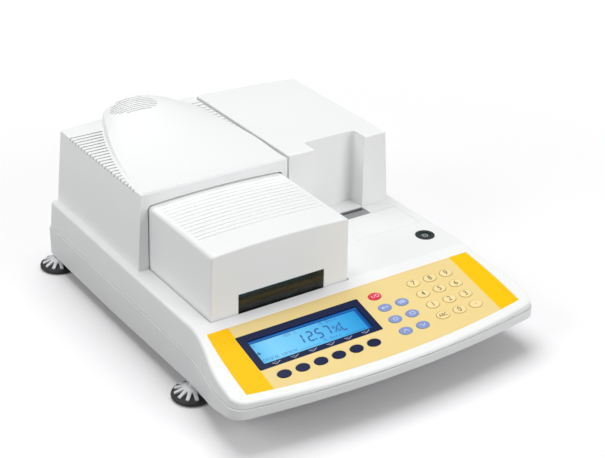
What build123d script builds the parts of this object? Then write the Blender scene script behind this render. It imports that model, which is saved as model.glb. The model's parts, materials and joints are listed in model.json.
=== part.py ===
from build123d import *
import os
from math import cos, pi, radians, sin

# Benchtop moisture analyzer, in millimetres.
# +Z up, +Y to the rear, +X to the user's right as they face the keypad.
# Origin on the bench, midway between the sides and between the front and the rear.

# Case plan
depth = 453.0
front_y = -depth / 2
rear_y = depth / 2
base_half = 169.0          # half width behind the console
console_half = 180.6       # half width of the flared console
rear_corner_y = 211.0      # the rear wall bows out by 15.5 to rear_y
shoulder_y = -108.0        # where the side wall starts to flare
flare_length = 24.0        # straight run of the console's side behind the front corner
front_sag = 16.5           # the front edge bows forward by this much
wall = 3.0

# Case heights
bottom_rear_z = 14.5
bottom_bend_y = 60.0       # from here the underside climbs to the front
bottom_rise = 0.026        # by this slope, as far as the shoulder
bow = [(-150.0, 25.2), (-203.0, 36.8), (-250.0, 40.0)]   # then it sweeps up under the console
seam_step = 1.2            # the lower shell stands proud of the upper shell
seam_groove = 0.9
seam_z = 47.5
top_z = 79.2
tower_top_z = 163.3

# Console slope
crease_y = -108.0
console_slope = 13.5
overlay_rear_y = -121.3
console_z = top_z - (crease_y - overlay_rear_y) * sin(radians(console_slope)) / cos(radians(console_slope))
console = Plane(
    origin=(0, overlay_rear_y, console_z),
    x_dir=(1, 0, 0),
    z_dir=(0, -sin(radians(console_slope)), cos(radians(console_slope))),
)

# Towers
tower_front_y = 14.5
left_tower_x = (-157.8, 21.0)
right_tower_x = (24.4, 156.4)
right_tower_front_y = 17.5
tower_draft = 6.0
tower_rear_corner_y = 206.0
tower_bow = 14.0
notch_x = (56.4, 122.6)
notch_back_y = 39.4

# Heating hood, seen in its forward position
hood_x = (-145.0, 14.8)
hood_front_y = -108.0
hood_rear_y = 42.0
hood_travel = tower_front_y - hood_front_y
hood_mid_x = sum(hood_x) / 2
hood_bottom_z = top_z - 2.4
hood_shoulder_z = 148.3
hood_crown_z = 151.0
hood_wall = 2.5
hood_gap = 1.2
window_x = (-114.3, -14.9)
window_height = 20.5
groove_pitch = 6.8
groove_count = 13

# Weighing chamber
pan_center = (hood_mid_x, -44.0)
basin_floor_z = 60.0
ledge_z = top_z - wall
basin_x = (hood_x[0] + 10.5, hood_x[1] - 10.5)
basin_y = (-103.5, 15.5)
shield_radius = 57.0
pan_radius = 45.0
pan_z = 69.0

# Hood drive: rack on the hood's left wall, pinion on an upright motor
gear_module = 1.5
pinion_teeth = 16
pinion_radius = gear_module * pinion_teeth / 2
rack_line_x = hood_x[0] + hood_wall + 5.0
pinion_center = (rack_line_x + pinion_radius, 32.0)
gear_z = (101.0, 107.0)

# Feet
foot_x = 164.0
foot_front_y = -104.2
foot_rear_y = 200.0
foot_radius = 21.3
finger_count = 12
finger_reach = 18.3
foot_dish_height = 8.0
foot_hub_z = 12.2
stem_radius = 3.0

# Keypad overlay and keys, measured down the console slope from its rear edge
overlay_half_rear = 157.1
overlay_half_front = 162.5
overlay_side_v = 83.0
overlay_front_v = 96.1
overlay_thickness = 1.0
key_rx = 7.4
key_ry = 5.0
key_gap = 0.3
key_rise = 0.7
display_x = (-135.3, 5.9)
display_v = (14.8, 62.0)
lcd_x = (-126.8, -1.0)
lcd_v = (23.2, 55.5)

os.makedirs("parts", exist_ok=True)


def base_section(z, inset):
    """Plan outline of the case at height z, drawn in by inset."""
    half = base_half - inset
    wide = console_half - inset
    front = front_y + inset
    corner = front + front_sag * (wide / console_half) ** 2
    flare_end = corner + flare_length
    with BuildSketch(Plane.XY.offset(z)) as section:
        with BuildLine():
            Line((half, rear_corner_y - inset), (half, shoulder_y))
            Bezier((half, shoulder_y), (half, shoulder_y - 32), (wide, flare_end + 32), (wide, flare_end))
            Line((wide, flare_end), (wide, corner))
            ThreePointArc((wide, corner), (0, front), (-wide, corner))
            Line((-wide, corner), (-wide, flare_end))
            Bezier((-wide, flare_end), (-wide, flare_end + 32), (-half, shoulder_y - 32), (-half, shoulder_y))
            Line((-half, shoulder_y), (-half, rear_corner_y - inset))
            ThreePointArc((-half, rear_corner_y - inset), (0, rear_y - inset), (half, rear_corner_y - inset))
        make_face()
        fillet(section.vertices().group_by(Axis.Y)[0], 16)
        fillet(section.vertices().group_by(Axis.Y)[-1], 3.5)
    return section.sketch


def tower_section(z, x0, x1, front, left_draft, right_draft, draft):
    """Plan outline of a tower at height z, its rear edge following the case's bow."""
    left = x0 + left_draft
    right = x1 - right_draft
    rear = tower_rear_corner_y - draft
    reach = base_half - 10

    def rear_at(x):
        return rear + tower_bow * (1 - (x / reach) ** 2)

    mid = (left + right) / 2
    with BuildSketch(Plane.XY.offset(z)) as section:
        with BuildLine():
            Polyline((left, rear_at(left)), (left, front), (right, front), (right, rear_at(right)))
            ThreePointArc((left, rear_at(left)), (mid, rear_at(mid)), (right, rear_at(right)))
        make_face()
    return section.sketch


def underside_z(y):
    """Height of the flat part of the underside at y."""
    return bottom_rear_z + bottom_rise * max(0.0, bottom_bend_y - y)


def underside_cutter(lift):
    """Everything below the underside, lifted by lift."""
    with BuildPart() as cutter:
        with BuildSketch(Plane.YZ.offset(-250)):
            with BuildLine():
                bend = (bottom_bend_y, bottom_rear_z + lift)
                knee = (shoulder_y, underside_z(shoulder_y) + lift)
                bow_points = [(y, z + lift) for y, z in bow]
                Polyline(knee, bend, (rear_y + 20, bend[1]), (rear_y + 20, -50), (bow[-1][0], -50), bow_points[-1])
                Spline(bow_points[-1], *bow_points[-2::-1], knee, tangents=[(1, -0.03), (1, -bottom_rise)])
            make_face()
        extrude(amount=500)
    return cutter.part


def console_cutter(drop):
    """Everything above the sloping console, lowered by drop."""
    with BuildPart() as cutter:
        with BuildSketch(Plane.YZ.offset(-250)):
            with BuildLine():
                slope = sin(radians(console_slope)) / cos(radians(console_slope))
                reach = crease_y - front_y + 30
                z0 = top_z - drop / cos(radians(console_slope))
                Polyline((crease_y, z0), (crease_y - reach, z0 - slope * reach),
                         (crease_y - reach, 130), (crease_y, 130), close=True)
            make_face()
        extrude(amount=500)
    return cutter.part


# Lower shell: an open tray whose underside sweeps up under the console, with foot bosses and a cradle
# for the paper roll

with BuildPart() as lower_core:
    extrude(base_section(12, wall), amount=seam_z - 11)
    add(underside_cutter(wall), mode=Mode.SUBTRACT)

roll_center = (90.0, -24.0, 50.0)
roll_radius = 20.0
roll_width = 57.0
spindle_radius = 3.0
screw_sites = [(sx * 120, y) for sx in (-1, 1) for y in (-90, 75, 185)]
screw_seat = 0.15

with BuildPart() as lower_shell:
    extrude(base_section(12, 0), amount=seam_z - 12)
    add(underside_cutter(0), mode=Mode.SUBTRACT)
    add(lower_core.part, mode=Mode.SUBTRACT)
    with Locations(*[(sx * foot_x, y, 12) for sx in (-1, 1) for y in (foot_front_y, foot_rear_y)]):
        Cylinder(4.9, 32, align=(Align.CENTER, Align.CENTER, Align.MIN))
    # cradle for the paper roll's spindle
    with Locations(*[(roll_center[0] + sx * (roll_width / 2 + 3.5), roll_center[1], 16) for sx in (-1, 1)]):
        Box(2.5, 22, 40, align=(Align.CENTER, Align.CENTER, Align.MIN))
    with Locations((roll_center[0], roll_center[1], roll_center[2] + 6)):
        Box(80, 2 * spindle_radius + 0.1, 12, mode=Mode.SUBTRACT)
    with Locations(Location(roll_center, (0, 90, 0))):
        Cylinder(spindle_radius + 0.05, 80, mode=Mode.SUBTRACT)
    add(underside_cutter(0), mode=Mode.SUBTRACT)
    with Locations(*[(sx * foot_x, y, 0) for sx in (-1, 1) for y in (foot_front_y, foot_rear_y)]):
        Cylinder(stem_radius + 0.05, 42, align=(Align.CENTER, Align.CENTER, Align.MIN), mode=Mode.SUBTRACT)
    # flat seats for the case screws' heads
    with Locations(*[(sx, sy, underside_z(sy) + screw_seat) for sx, sy in screw_sites]):
        Cylinder(3.8, 5, align=(Align.CENTER, Align.CENTER, Align.MAX), mode=Mode.SUBTRACT)
lower_shell.part.label = "lower_shell"
export_step(lower_shell.part, "parts/lower_shell.step")

# Upper shell: base cover and console in one moulding, hollow underneath

with BuildPart() as upper_core:
    loft([base_section(seam_z - 1, wall + 0.8), base_section(top_z - wall, wall + 3.2)], ruled=True)
    add(console_cutter(wall + overlay_thickness), mode=Mode.SUBTRACT)

printer_x = (44.0, 154.0)
printer_y = (-45.3, -0.6)
slot_plate_x = (57.0, 121.8)
slot_plate_y = (-0.2, 17.0)
level_center = (140.2, -73.2)
level_radius = 10.5


def plane_box(x, v, depth_range):
    """Box under or over the console between two x, two v (down the slope) and two heights."""
    with BuildPart(console) as block:
        with BuildSketch(console.offset(depth_range[0])):
            with Locations(((x[0] + x[1]) / 2, -(v[0] + v[1]) / 2)):
                RectangleRounded(x[1] - x[0], v[1] - v[0], 1.5)
        extrude(amount=depth_range[1] - depth_range[0])
    return block.part


def overlay_face(grow, height):
    """The overlay's outline on the console, grown by grow."""
    with BuildSketch(console.offset(height)) as face:
        with BuildLine():
            hr = overlay_half_rear + grow
            hf = overlay_half_front + grow
            hm = (hr + hf) / 2 + 1.6
            vs = overlay_side_v
            vf = overlay_front_v + grow
            Line((-hr, grow), (hr, grow))
            ThreePointArc((hr, grow), (hm, -vs / 2), (hf, -vs))
            ThreePointArc((hf, -vs), (0, -vf), (-hf, -vs))
            ThreePointArc((-hf, -vs), (-hm, -vs / 2), (-hr, grow))
        make_face()
        fillet(face.vertices(), 1.2)
    return face.sketch


soft_keys = [(-116.4 + 20.48 * i, 74.1) for i in range(6)]
power_key = (24.9, 19.4)
function_keys = [(25.0 + 21.0 * (i % 2), 37.2 + 18.0 * (i // 2)) for i in range(6)]
number_names = ["7", "8", "9", "4", "5", "6", "1", "2", "3", "alpha", "0", "point"]
number_keys = [(73.9 + 20.95 * (i % 3), 18.9 + 17.0 * (i // 3)) for i in range(12)]
all_keys = soft_keys + [power_key] + function_keys + number_keys

with BuildPart() as upper_shell:
    loft([base_section(seam_z, seam_step), base_section(top_z, 3.2)], ruled=True)
    add(console_cutter(0), mode=Mode.SUBTRACT)
    rim = upper_shell.faces().filter_by(Axis.Z).sort_by(Axis.Z)[-1].edges() + \
        upper_shell.faces().sort_by(lambda f: abs(f.normal_at().dot(console.z_dir) - 1))[0].edges()
    rim = [e for e in rim if abs(e.center().Y - crease_y) > 0.5 or e.length < 50]
    fillet(rim, 3.0)
    add(upper_core.part, mode=Mode.SUBTRACT)
    # shadow groove just above the seam
    with BuildSketch(Plane.XY.offset(seam_z)):
        add(base_section(seam_z, -2))
        add(base_section(seam_z, seam_step + 0.9), mode=Mode.SUBTRACT)
    extrude(amount=seam_groove, mode=Mode.SUBTRACT)
    # hood way, open from the chamber back to the end of the hood's travel
    with Locations(((hood_x[0] + hood_x[1]) / 2, (hood_front_y - 1.0 + hood_rear_y + hood_travel + 4) / 2, top_z)):
        Box(hood_x[1] - hood_x[0] + 2.2, hood_rear_y + hood_travel + 4 - hood_front_y + 1.0, 20,
            mode=Mode.SUBTRACT)
    # printer bay, paper slot seat and level seat
    with Locations(((printer_x[0] + printer_x[1]) / 2, (printer_y[0] + slot_plate_y[0]) / 2, top_z)):
        Box(printer_x[1] - printer_x[0] + 0.8, slot_plate_y[0] - printer_y[0] + 0.4, 20, mode=Mode.SUBTRACT)
    with Locations(((slot_plate_x[0] + slot_plate_x[1]) / 2, sum(slot_plate_y) / 2, top_z)):
        Box(slot_plate_x[1] - slot_plate_x[0], slot_plate_y[1] - slot_plate_y[0] + 0.4, 20, mode=Mode.SUBTRACT)
    with Locations((level_center[0], level_center[1], top_z)):
        Cylinder(level_radius, 20, mode=Mode.SUBTRACT)
    # cable passage into the electronics tower
    with Locations((90, 120, top_z)):
        Box(60, 80, 20, mode=Mode.SUBTRACT)
    # overlay seat and the key and display windows through the console skin
    extrude(overlay_face(0.1, -overlay_thickness), amount=6, mode=Mode.SUBTRACT)
    add(plane_box((display_x[0] + 1.5, display_x[1] - 1.5), (display_v[0] + 1.5, display_v[1] - 1.5), (-9, 1)),
        mode=Mode.SUBTRACT)
    add(plane_box((-126.5, -4.0), (66.8, 81.5), (-9, 1)), mode=Mode.SUBTRACT)
    add(plane_box((15.0, 56.0), (11.5, 80.5), (-9, 1)), mode=Mode.SUBTRACT)
    add(plane_box((64.0, 125.5), (11.5, 77.0), (-9, 1)), mode=Mode.SUBTRACT)
upper_shell.part.label = "upper_shell"
export_step(upper_shell.part, "parts/upper_shell.step")


# Heater tower: drafted hood housing with an arched mouth, side vents and the exhaust fairing

left_x0, left_x1 = left_tower_x
fairing_front_y = tower_front_y + 1.0
fairing_rise = 23.0
hood_back_y = hood_rear_y + hood_travel


def fairing_section(y, x0, x1, rise, drop=0.0):
    """Cross-section of the exhaust fairing at y: a dome leaning on the tower's top."""
    base = tower_top_z - 1.0 - drop
    crown = tower_top_z + rise
    with BuildSketch(Plane.XZ.offset(-y)) as section:
        with BuildLine():
            Line((x0, base), (x1, base))
            Line((x1, base), (x1, tower_top_z + 0.2))
            Spline(
                (x1, tower_top_z + 0.2),
                ((x0 + x1) / 2 + 0.02 * (x1 - x0), crown - 0.1 * rise),
                (x0 + 0.28 * (x1 - x0), crown),
                (x0 + 0.02 * (x1 - x0), tower_top_z + 0.45 * rise + 0.3),
            )
            Line((x0 + 0.02 * (x1 - x0), tower_top_z + 0.45 * rise + 0.3), (x0, base))
        make_face()
    return section.sketch


fairing_stations = [
    (fairing_front_y + 1.0, left_x0 + 7.0, left_x1 - 1.0, 0.4),
    (55.0, -147.0, left_x1 - 1.0, 1.6),
    (105.0, -136.0, left_x1 - 2.0, 6.0),
    (150.0, -122.5, left_x1 - 6.0, 13.5),
    (180.0, -111.0, 12.0, 20.0),
    (200.0, -103.0, 5.0, fairing_rise),
]
fan_center = (-60.0, 174.0)
fan_radius = 21.0
fan_z = tower_top_z - wall - 6.0
louvre_center = (-71.0, 184.5)
louvre_rx = 28.0
louvre_ry = 14.5
louvre_count = 8
louvre_pitch = 3.7
louvre_slot = 1.3
vent_count = 22
vent_front_y = 31.0
vent_pitch = 6.95


def fairing_edge(y):
    """X of the fairing's left edge at y, between its stations."""
    pairs = list(zip(fairing_stations, fairing_stations[1:]))
    near, far = next((p for p in pairs if p[0][0] <= y <= p[1][0]), pairs[-1])
    return near[1] + (far[1] - near[1]) * (y - near[0]) / (far[0] - near[0])


with BuildPart() as fairing_core:
    stations = [(105.0, -132.0, left_x1 - 6.0, 3.2), (150.0, -119.0, left_x1 - 10.0, 10.7),
                (180.0, -107.5, 8.5, 17.2), (198.0, -100.0, 2.0, fairing_rise - 3.0)]
    loft([fairing_section(y, x0, x1, rise, -1.0) for y, x0, x1, rise in stations])

with BuildPart() as heater_tower:
    loft([
        tower_section(top_z, left_x0, left_x1, tower_front_y, 0, 0, 0),
        tower_section(tower_top_z, left_x0, left_x1, tower_front_y + 1.0, tower_draft, 0.6, tower_draft),
    ], ruled=True)
    fillet(heater_tower.faces().sort_by(Axis.Z)[-1].edges(), 1.5)
    loft([fairing_section(y, x0, x1, rise) for y, x0, x1, rise in fairing_stations])
    loft([
        tower_section(top_z - 1, left_x0 + wall, left_x1 - wall, tower_front_y + wall, 0, 0, wall),
        tower_section(tower_top_z - wall, left_x0 + wall, left_x1 - wall, tower_front_y + wall + 1.0, tower_draft,
                      0.6, tower_draft + wall),
    ], ruled=True, mode=Mode.SUBTRACT)
    add(fairing_core.part, mode=Mode.SUBTRACT)
    # air hole over the fan, then the mouth that the hood slides through
    with Locations((fan_center[0], fan_center[1], tower_top_z)):
        Cylinder(fan_radius + 1, 10, mode=Mode.SUBTRACT)
    with BuildSketch(Plane.XZ.offset(-(tower_front_y - 5))) as mouth:
        with BuildLine():
            x0, x1 = hood_x[0] - hood_gap, hood_x[1] + hood_gap
            z1 = hood_shoulder_z + hood_gap
            Polyline((x0 + 1.6, z1), (x0, top_z - 5), (x1, top_z - 5), (x1 - 1.6, z1))
            ThreePointArc((x1 - 1.6, z1), (hood_mid_x, hood_crown_z + hood_gap), (x0 + 1.6, z1))
        make_face()
        fillet(mouth.vertices().group_by(Axis.Y)[-1], 5)
    extrude(amount=-20, mode=Mode.SUBTRACT)
    # side vents: slots that wrap over the top's left edge and run up to the fairing
    for i in range(vent_count):
        y = vent_front_y + vent_pitch * i
        reach = fairing_edge(y) - 1.5 - (left_x0 - 3)
        with Locations((left_x0 - 3 + reach / 2, y, tower_top_z - wall - 1)):
            Box(reach, 2.4, 8, align=(Align.CENTER, Align.CENTER, Align.MIN), mode=Mode.SUBTRACT)
    # louvres across the fairing's crown
    for i in range(louvre_count):
        y = louvre_center[1] + louvre_pitch * (i - (louvre_count - 1) / 2)
        half = louvre_rx * (1 - ((y - louvre_center[1]) / (louvre_ry + 1)) ** 2) ** 0.5
        with Locations((louvre_center[0], y, tower_top_z + 18)):
            Box(2 * half, louvre_slot, 30, rotation=(20, 0, 0), mode=Mode.SUBTRACT)
    # short vents beside the seam, longer to the rear
    for i in range(11):
        reach = 4.0 + i
        with Locations((left_x1 + 2 - reach / 2, 115.0 + 8.0 * i, tower_top_z - wall - 1)):
            Box(reach + 4, 2.2, 12, align=(Align.CENTER, Align.CENTER, Align.MIN), mode=Mode.SUBTRACT)
heater_tower.part.label = "heater_tower"
export_step(heater_tower.part, "parts/heater_tower.step")

# Electronics tower: finger notch over the paper slot, inlet recess at the rear

right_x0, right_x1 = right_tower_x
inlet_x, inlet_z = 100.0, 106.0
inlet_y = 196.0

with BuildPart() as electronics_tower:
    loft([
        tower_section(top_z, right_x0, right_x1, right_tower_front_y, 0, 0, 0),
        tower_section(tower_top_z, right_x0, right_x1, right_tower_front_y + 1.0, 0.6, tower_draft, tower_draft),
    ], ruled=True)
    fillet(electronics_tower.faces().sort_by(Axis.Z)[-1].edges().filter_by(GeomType.LINE), 1.5)
    with BuildSketch(Plane.XY.offset(top_z)) as notch:
        with Locations(((notch_x[0] + notch_x[1]) / 2, notch_back_y - 20)):
            Rectangle(notch_x[1] - notch_x[0], 40)
        fillet(notch.vertices().group_by(Axis.Y)[-1], 5)
    extrude(amount=100, mode=Mode.SUBTRACT)
    with BuildSketch(Plane.XY.offset(top_z - 1)) as inner:
        with BuildLine():
            Polyline((right_x0 + wall, right_tower_front_y + wall + 1), (notch_x[0] - wall, right_tower_front_y + wall + 1),
                     (notch_x[0] - wall, notch_back_y + wall), (notch_x[1] + wall, notch_back_y + wall),
                     (notch_x[1] + wall, right_tower_front_y + wall + 1),
                     (right_x1 - tower_draft - wall, right_tower_front_y + wall + 1),
                     (right_x1 - tower_draft - wall, 192), (right_x0 + wall, 203), close=True)
        make_face()
    extrude(amount=tower_top_z - wall - top_z + 1, mode=Mode.SUBTRACT)
    with Locations((inlet_x, 230, inlet_z)):
        Box(52, 2 * (230 - inlet_y), 34, mode=Mode.SUBTRACT)
    with Locations((inlet_x, inlet_y - 20, inlet_z)):
        Box(30, 60, 23, mode=Mode.SUBTRACT)
electronics_tower.part.label = "electronics_tower"
export_step(electronics_tower.part, "parts/electronics_tower.step")

# Heating hood: open underneath and behind, its window let into the front panel


def hood_profile(y, inset):
    """Hood cross-section at y: leaning sides and an arched top."""
    x0, x1 = hood_x[0] + inset, hood_x[1] - inset
    z1 = hood_shoulder_z - inset
    with BuildSketch(Plane.XZ.offset(-y)) as section:
        with BuildLine():
            Polyline((x0 + 1.6, z1), (x0, hood_bottom_z), (x1, hood_bottom_z), (x1 - 1.6, z1))
            ThreePointArc((x1 - 1.6, z1), (hood_mid_x, hood_crown_z - inset), (x0 + 1.6, z1))
        make_face()
        fillet(section.vertices().group_by(Axis.Y)[-1], 4)
    return section.sketch


with BuildPart() as hood_shell:
    extrude(hood_profile(hood_front_y, 0), amount=-(hood_rear_y - hood_front_y))
    fillet(hood_shell.faces().sort_by(Axis.Y)[0].edges().filter_by(lambda e: e.center().Z > hood_bottom_z + 1), 2.0)
    with BuildSketch(Plane.XZ.offset(-(hood_front_y + hood_wall))) as hollow:
        with BuildLine():
            x0, x1 = hood_x[0] + hood_wall, hood_x[1] - hood_wall
            z1 = hood_shoulder_z - hood_wall
            Polyline((x0 + 1.6, z1), (x0, hood_bottom_z - 5), (x1, hood_bottom_z - 5), (x1 - 1.6, z1))
            ThreePointArc((x1 - 1.6, z1), (hood_mid_x, hood_crown_z - hood_wall), (x0 + 1.6, z1))
        make_face()
    extrude(amount=-200, mode=Mode.SUBTRACT)
    with Locations(((window_x[0] + window_x[1]) / 2, hood_front_y, top_z + window_height - 20)):
        Box(window_x[1] - window_x[0], 20, 40, mode=Mode.SUBTRACT)
    # shallow transverse grooves on the top, behind a plain front band
    for i in range(groove_count):
        with BuildSketch(Plane.XZ.offset(-(hood_front_y + 36 + groove_pitch * i))):
            with BuildLine():
                x0, x1 = hood_x[0] + 8, hood_x[1] - 8
                z1 = hood_shoulder_z - 0.25
                Polyline((x0, z1), (x0, z1 + 8), (x1, z1 + 8), (x1, z1))
                ThreePointArc((x1, z1), (hood_mid_x, hood_crown_z - 0.6), (x0, z1))
            make_face()
        extrude(amount=-0.9, mode=Mode.SUBTRACT)
hood_shell.part.label = "hood_shell"
export_step(hood_shell.part, "parts/hood_shell.step")

with BuildPart() as hood_window:
    with Locations(((window_x[0] + window_x[1]) / 2, hood_front_y + 1.8, (hood_bottom_z + top_z + window_height) / 2)):
        Box(window_x[1] - window_x[0], 1.6, top_z + window_height - hood_bottom_z)
hood_window.part.label = "hood_window"
export_step(hood_window.part, "parts/hood_window.step")

# Heater: dished reflector under the hood's roof and a ring element below it

reflector_z = 132.0
with BuildPart() as hood_reflector:
    with BuildSketch(Plane.XZ.offset(-pan_center[1])) as dish:
        with BuildLine():
            r = pan_center[0]
            Polyline((r, reflector_z), (r + 42, reflector_z), (r + 53, reflector_z - 12), (r + 60, reflector_z - 12),
                     (r + 60, reflector_z - 10.5), (r + 54, reflector_z - 10.5), (r + 43, reflector_z + 1.5),
                     (r, reflector_z + 1.5), close=True)
        make_face()
    revolve(axis=Axis((pan_center[0], pan_center[1], 0), (0, 0, 1)))
    # hangers up to the hood's roof
    hanger_length = hood_crown_z - hood_wall - 0.45 - reflector_z - 1.5
    with Locations(*[(pan_center[0] + sx * 30, pan_center[1] + sy * 24, reflector_z + 1.5)
                     for sx in (-1, 1) for sy in (-1, 1)]):
        Cylinder(2.5, hanger_length, align=(Align.CENTER, Align.CENTER, Align.MIN))
hood_reflector.part.label = "hood_reflector"
export_step(hood_reflector.part, "parts/hood_reflector.step")

element_z = reflector_z - 9.0
with BuildPart() as heating_element:
    with Locations((pan_center[0], pan_center[1], element_z)):
        Torus(38, 4)
    with Locations(*[(pan_center[0] + sx * 38, pan_center[1], element_z) for sx in (-1, 1)]):
        Cylinder(2.5, 9.0, align=(Align.CENTER, Align.CENTER, Align.MIN))
heating_element.part.label = "heating_element"
export_step(heating_element.part, "parts/heating_element.step")

# Hood drive

tooth_pitch = pi * gear_module
rack_rear_y = pinion_center[1] + 10.0
rack_front_y = pinion_center[1] - hood_travel - 10.0
rack_teeth = int((rack_rear_y - rack_front_y) / tooth_pitch)


def tooth(root_width, tip_width, height, sink=0.6):
    """Outline of one gear tooth pointing along +X from its root."""
    with BuildSketch() as outline:
        with BuildLine():
            Polyline((-sink, -root_width / 2), (0, -root_width / 2), (height, -tip_width / 2), (height, tip_width / 2),
                     (0, root_width / 2), (-sink, root_width / 2), close=True)
        make_face()
    return outline.sketch


with BuildPart() as hood_rack:
    with Locations(((hood_x[0] + hood_wall + 0.75 + rack_line_x - 1.9) / 2, (rack_front_y + rack_rear_y) / 2, sum(gear_z) / 2)):
        Box(rack_line_x - 1.9 - hood_x[0] - hood_wall - 0.75, rack_rear_y - rack_front_y, gear_z[1] - gear_z[0])
    with BuildSketch(Plane.XY.offset(gear_z[0])):
        with Locations(*[(rack_line_x - 1.9, pinion_center[1] + tooth_pitch * (0.5 - i)) for i in range(-1, rack_teeth - 1)]):
            add(tooth(2.4, 1.0, 3.0))
    extrude(amount=gear_z[1] - gear_z[0])
hood_rack.part.label = "hood_rack"
export_step(hood_rack.part, "parts/hood_rack.step")

with BuildPart() as drive_pinion:
    with BuildSketch(Plane.XY.offset(gear_z[0])) as gear:
        with Locations(pinion_center):
            Circle(pinion_radius - 1.9)
        with Locations(pinion_center):
            with PolarLocations(pinion_radius - 1.9, pinion_teeth, start_angle=180):
                add(tooth(2.4, 1.0, 3.0))
    extrude(amount=gear_z[1] - gear_z[0])
    with Locations((pinion_center[0], pinion_center[1], gear_z[0] - 2)):
        Cylinder(5, 2, align=(Align.CENTER, Align.CENTER, Align.MIN))
    with Locations((pinion_center[0], pinion_center[1], 80)):
        Cylinder(2.05, 60, align=(Align.CENTER, Align.CENTER, Align.MIN), mode=Mode.SUBTRACT)
drive_pinion.part.label = "drive_pinion"
export_step(drive_pinion.part, "parts/drive_pinion.step")

motor_size = 22.0
with BuildPart() as drive_motor:
    with BuildSketch(Plane.XY.offset(ledge_z)) as body:
        with Locations(pinion_center):
            RectangleRounded(motor_size, motor_size, 4)
    extrude(amount=20)
    with Locations((pinion_center[0], pinion_center[1], ledge_z + 20)):
        Cylinder(5, 1.5, align=(Align.CENTER, Align.CENTER, Align.MIN))
        Cylinder(2.0, gear_z[1] - ledge_z - 19.5, align=(Align.CENTER, Align.CENTER, Align.MIN))
drive_motor.part.label = "drive_motor"
export_step(drive_motor.part, "parts/drive_motor.step")

# Chamber tray: ledge that the hood runs over, basin round the pan, guide ribs behind

tray_y = (hood_front_y - 6.0, hood_back_y + 10.0)
with BuildPart() as chamber_tray:
    with BuildSketch(Plane.XY.offset(ledge_z - 2)):
        with Locations((hood_mid_x, sum(tray_y) / 2)):
            Rectangle(hood_x[1] - hood_x[0] + 16, tray_y[1] - tray_y[0])
    extrude(amount=2)
    with BuildSketch(Plane.XY.offset(basin_floor_z - 2)) as basin:
        with Locations((hood_mid_x, sum(basin_y) / 2)):
            RectangleRounded(basin_x[1] - basin_x[0] + 4, basin_y[1] - basin_y[0] + 4, 14)
    extrude(amount=ledge_z - basin_floor_z)
    with BuildSketch(Plane.XY.offset(basin_floor_z)) as hollow:
        with Locations((hood_mid_x, sum(basin_y) / 2)):
            RectangleRounded(basin_x[1] - basin_x[0], basin_y[1] - basin_y[0], 12)
    extrude(amount=30, mode=Mode.SUBTRACT)
    with Locations((pan_center[0], pan_center[1], basin_floor_z)):
        Cylinder(8, 20, mode=Mode.SUBTRACT)
    with Locations(*[(x, 100, ledge_z) for x in (hood_x[0] + hood_wall + 2, hood_x[1] - hood_wall - 2)]):
        Box(2, 120, 5, align=(Align.CENTER, Align.CENTER, Align.MIN))
    add(console_cutter(wall + overlay_thickness + 0.05), mode=Mode.SUBTRACT)
chamber_tray.part.label = "chamber_tray"
export_step(chamber_tray.part, "parts/chamber_tray.step")

with BuildPart() as draft_shield:
    with Locations((pan_center[0], pan_center[1], basin_floor_z)):
        Cylinder(shield_radius, 13, align=(Align.CENTER, Align.CENTER, Align.MIN))
        Cylinder(shield_radius - 1.5, 13, align=(Align.CENTER, Align.CENTER, Align.MIN), mode=Mode.SUBTRACT)
        Cylinder(shield_radius, 1.5, align=(Align.CENTER, Align.CENTER, Align.MIN))
        Cylinder(shield_radius - 8, 4, align=(Align.CENTER, Align.CENTER, Align.MIN), mode=Mode.SUBTRACT)
draft_shield.part.label = "draft_shield"
export_step(draft_shield.part, "parts/draft_shield.step")

with BuildPart() as pan_support:
    with BuildSketch(Plane.XY.offset(pan_z - 2.0)) as spider:
        with Locations(pan_center):
            Circle(9)
            with PolarLocations(20, 3, start_angle=90):
                Rectangle(32, 7)
            with PolarLocations(36, 3, start_angle=90):
                Circle(5)
    extrude(amount=2)
    with Locations((pan_center[0], pan_center[1], 46)):
        Cylinder(4, pan_z - 2.0 - 46, align=(Align.CENTER, Align.CENTER, Align.MIN))
pan_support.part.label = "pan_support"
export_step(pan_support.part, "parts/pan_support.step")

with BuildPart() as sample_pan:
    with BuildSketch(Plane.XZ.offset(-pan_center[1])) as profile:
        with BuildLine():
            Polyline((pan_center[0], pan_z), (pan_center[0] + pan_radius - 4, pan_z), (pan_center[0] + pan_radius - 2, pan_z + 5),
                     (pan_center[0] + pan_radius, pan_z + 5), (pan_center[0] + pan_radius, pan_z + 5.8),
                     (pan_center[0] + pan_radius - 2.6, pan_z + 5.8), (pan_center[0] + pan_radius - 4.6, pan_z + 0.8),
                     (pan_center[0], pan_z + 0.8), close=True)
        make_face()
    revolve(axis=Axis((pan_center[0], pan_center[1], 0), (0, 0, 1)))
sample_pan.part.label = "sample_pan"
export_step(sample_pan.part, "parts/sample_pan.step")

with BuildPart() as load_cell:
    with Locations((pan_center[0], pan_center[1] + 25, 18.0)):
        Box(64, 112, 11, align=(Align.CENTER, Align.CENTER, Align.MIN))
    with Locations((pan_center[0], pan_center[1] + 60, 28)):
        Box(40, 30, 16, align=(Align.CENTER, Align.CENTER, Align.MIN))
    with Locations((pan_center[0], pan_center[1] + 22, 35)):
        Box(22, 68, 11, align=(Align.CENTER, Align.CENTER, Align.MIN))
    with Locations((pan_center[0], pan_center[1] + 22, 40.5)):
        Box(40, 34, 5, mode=Mode.SUBTRACT)
    add(underside_cutter(wall), mode=Mode.SUBTRACT)
load_cell.part.label = "load_cell"
export_step(load_cell.part, "parts/load_cell.step")

# Display, overlay and keys

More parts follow.
